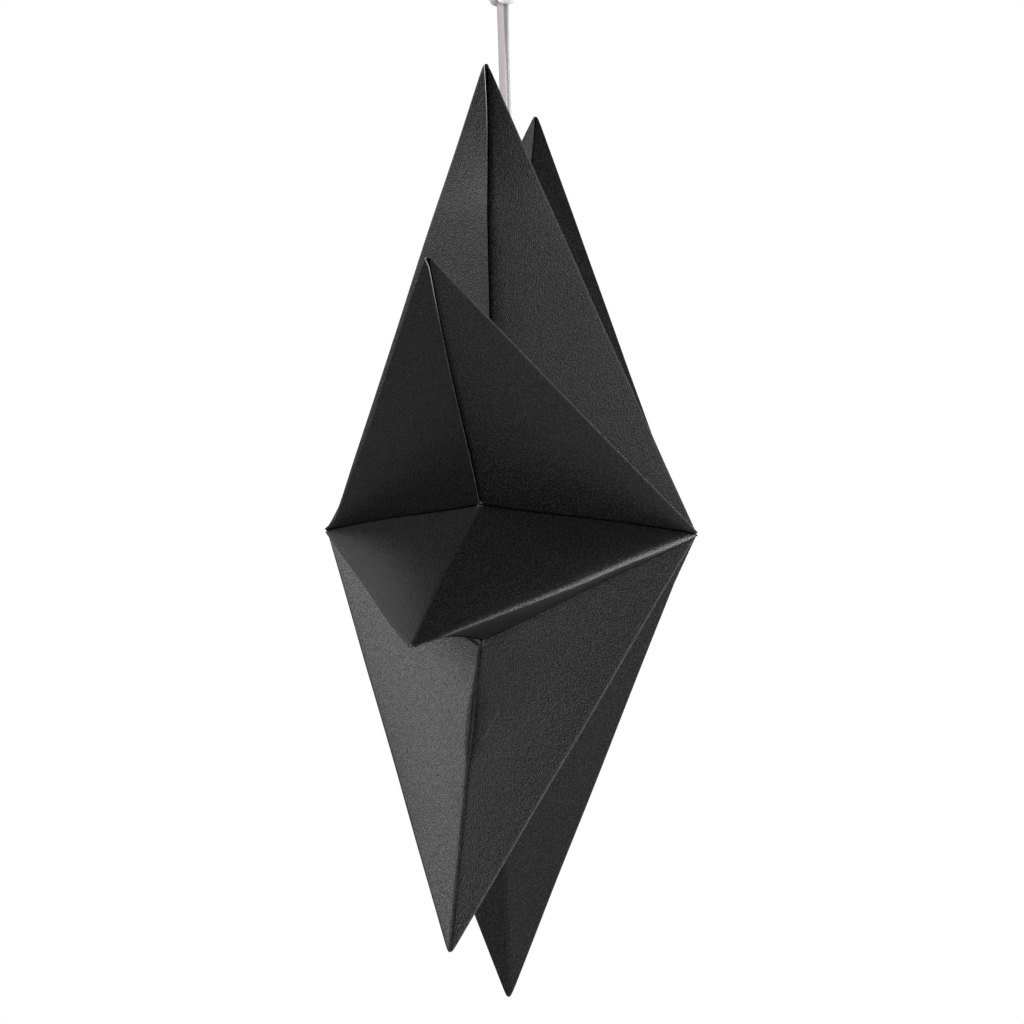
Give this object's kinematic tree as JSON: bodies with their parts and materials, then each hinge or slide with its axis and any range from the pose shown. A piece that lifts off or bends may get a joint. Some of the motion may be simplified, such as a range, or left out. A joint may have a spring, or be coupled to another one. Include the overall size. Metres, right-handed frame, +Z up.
{
  "type": "paper star decoration",
  "caption": "Hanging star of folded black card, with hollow pointed rays glued side by side round an axis and a ribbon loop in its top joint.",
  "frame": {"origin": "centre of the star, on its axis and in the plane of its tips", "axes": "+Z up along the hanging ribbon's joint, +Y along the star's axis from the front apex to the back apex, +X to the right seen from the front"},
  "size_m": [0.4432, 0.18, 0.5261],
  "materials": {
    "black_card": "matt black dyed card with a fine fibre grain",
    "grey_ribbon": "pale lilac-grey satin ribbon"
  },
  "bodies": {
    "root": {"star_point_1": "black_card", "star_point_2": "black_card", "star_point_3": "black_card", "star_point_4": "black_card", "star_point_5": "black_card", "star_point_6": "black_card", "star_point_7": "black_card", "star_point_8": "black_card", "star_point_9": "black_card", "hanging_ribbon": "grey_ribbon", "ribbon_knot": "grey_ribbon"}
  },
  "joints": []
}
